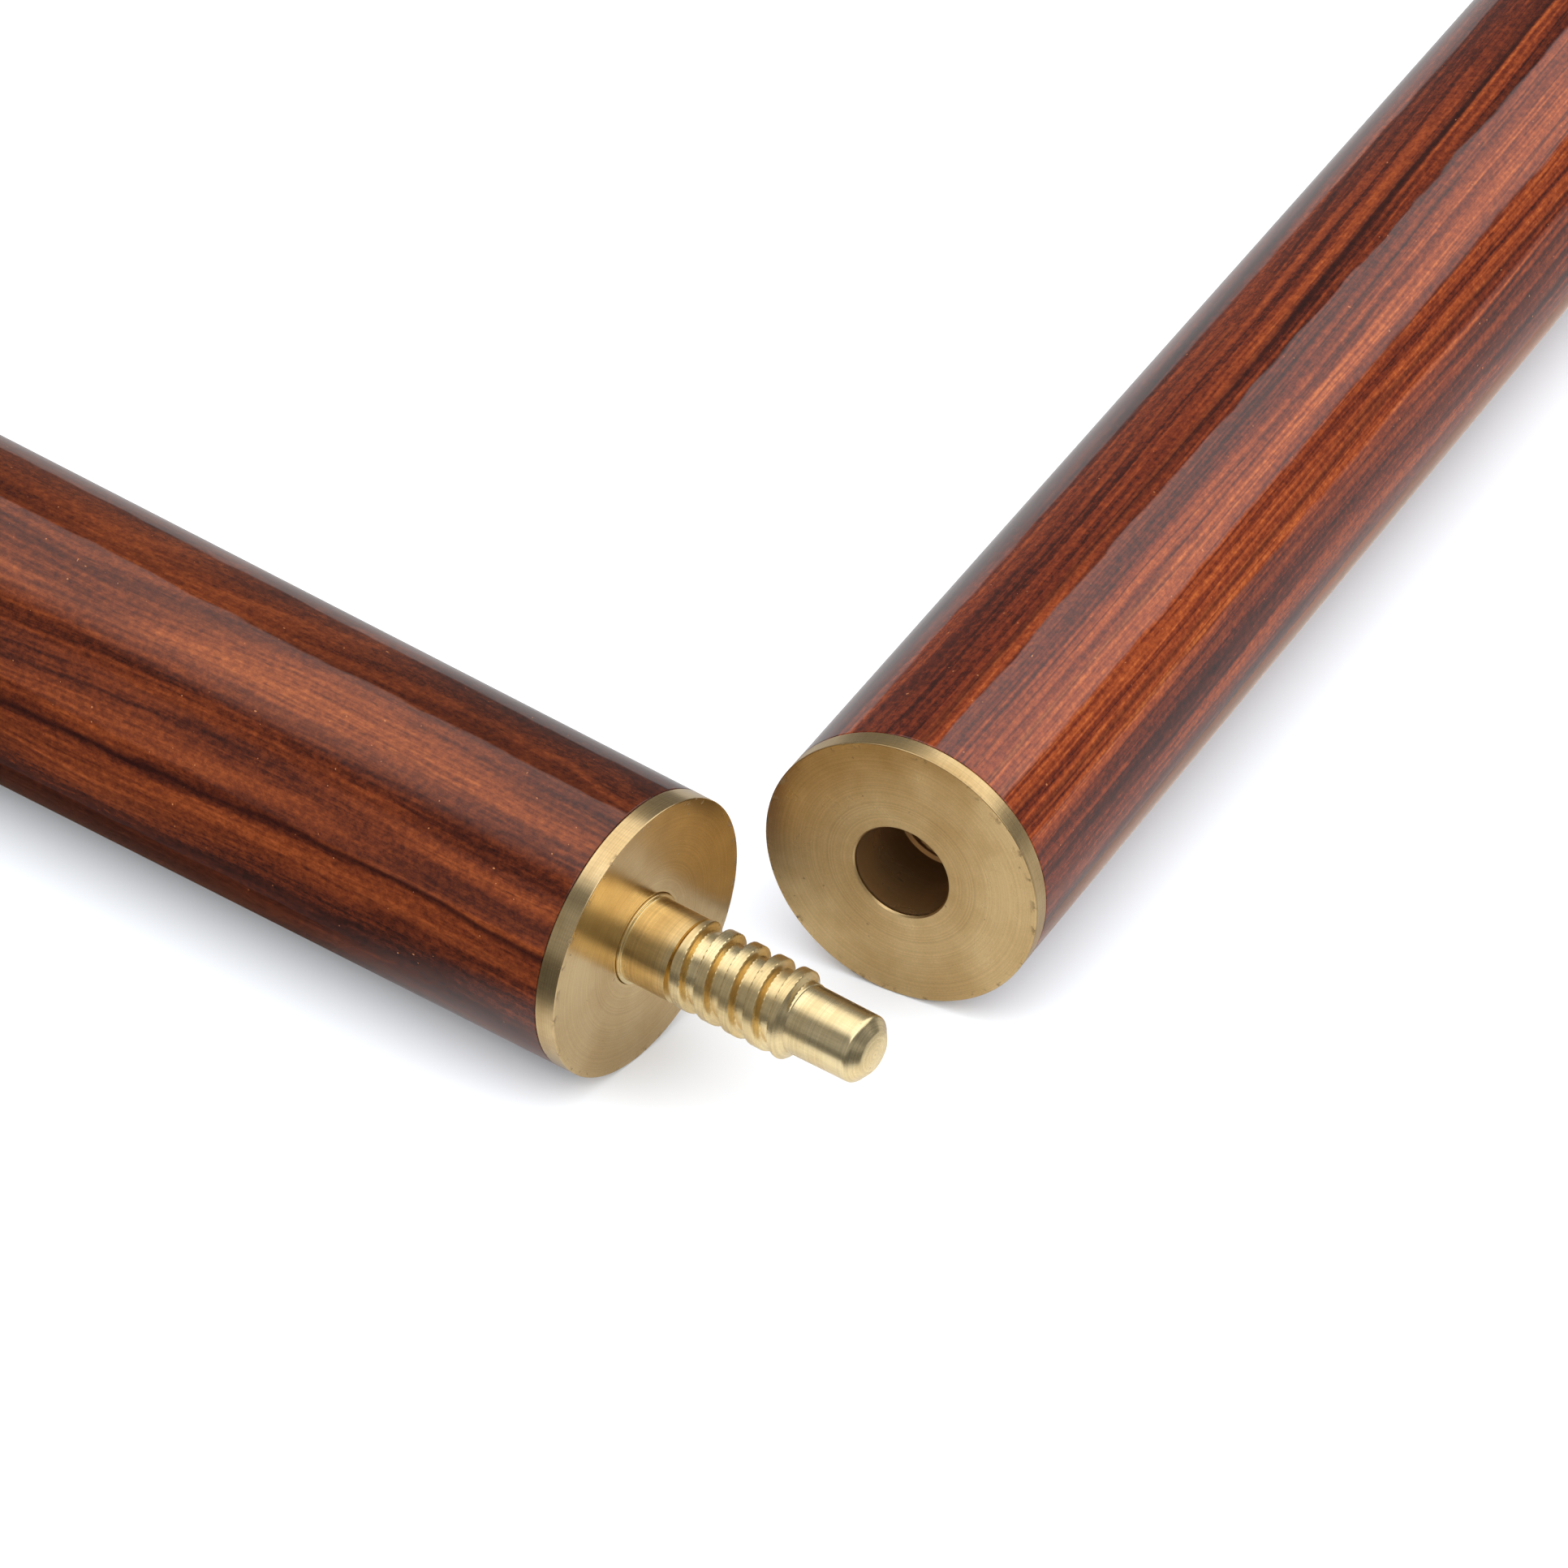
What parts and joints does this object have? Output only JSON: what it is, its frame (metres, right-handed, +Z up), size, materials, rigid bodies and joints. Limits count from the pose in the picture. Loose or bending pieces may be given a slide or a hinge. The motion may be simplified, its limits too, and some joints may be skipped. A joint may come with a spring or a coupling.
{
  "type": "two-piece snooker cue",
  "caption": "Tapered hardwood cue in two halves, unscrewed and lying at an angle, with a threaded brass pin, a brass socket, ferrule, leather tip and rubber bumper.",
  "frame": {"origin": "on the table, under the middle of the whole object's box as it lies unscrewed", "axes": "+Y along the shaft half towards its tip, +Z up, butt half lying towards -X"},
  "size_m": [0.4278, 1.0964, 0.0281],
  "materials": {
    "brass": "satin turned brass, fine concentric tool marks, small nicks and dull spots at the edges",
    "pin_brass": "polished turned brass",
    "rosewood": "dark striped rosewood under thick gloss lacquer",
    "ash": "straight-grained ash with dark chevron grain, satin lacquer",
    "steel": "plain turned steel",
    "rubber": "matte black rubber",
    "leather": "pressed leather, chalked blue"
  },
  "bodies": {
    "shaft_half": {"joint_socket": "brass", "splice": "rosewood", "shaft": "ash", "ferrule": "brass", "tip": "leather"},
    "swing_carrier": {"weight_rear": "steel"},
    "insert_carrier": {"weight_middle": "steel"},
    "screw_carrier": {"weight_front": "steel"},
    "butt_half": {"joint_plate": "brass", "joint_pin": "pin_brass", "butt": "rosewood", "end_plate": "brass", "bumper": "rubber", "bumper_screw": "brass", "badge_plate": "brass"}
  },
  "joints": [
    {"name": "butt_swing", "type": "hinge", "parent": "shaft_half", "child": "swing_carrier", "pos_m": [0.20191, -0.53847, 0.012], "axis": [0, 0, 1], "range_deg": [0, 99]},
    {"name": "butt_insert", "type": "slide", "parent": "swing_carrier", "child": "insert_carrier", "axis": [0.9877, -0.1564, 0], "range_m": [0, 0.0251]},
    {"name": "screw_advance", "type": "slide", "parent": "insert_carrier", "child": "screw_carrier", "axis": [0.9877, -0.1564, 0], "range_m": [0, 0.0081]},
    {"name": "butt_turn", "type": "hinge", "parent": "screw_carrier", "child": "butt_half", "pos_m": [0.18848, -0.53635, 0.012], "axis": [0.9877, -0.1564, -0.0068], "range_deg": [0, 1225]}
  ],
  "couplings": [
    {"joint": "screw_advance", "follows": "butt_turn", "m_per_rad": 0.00037879}
  ]
}
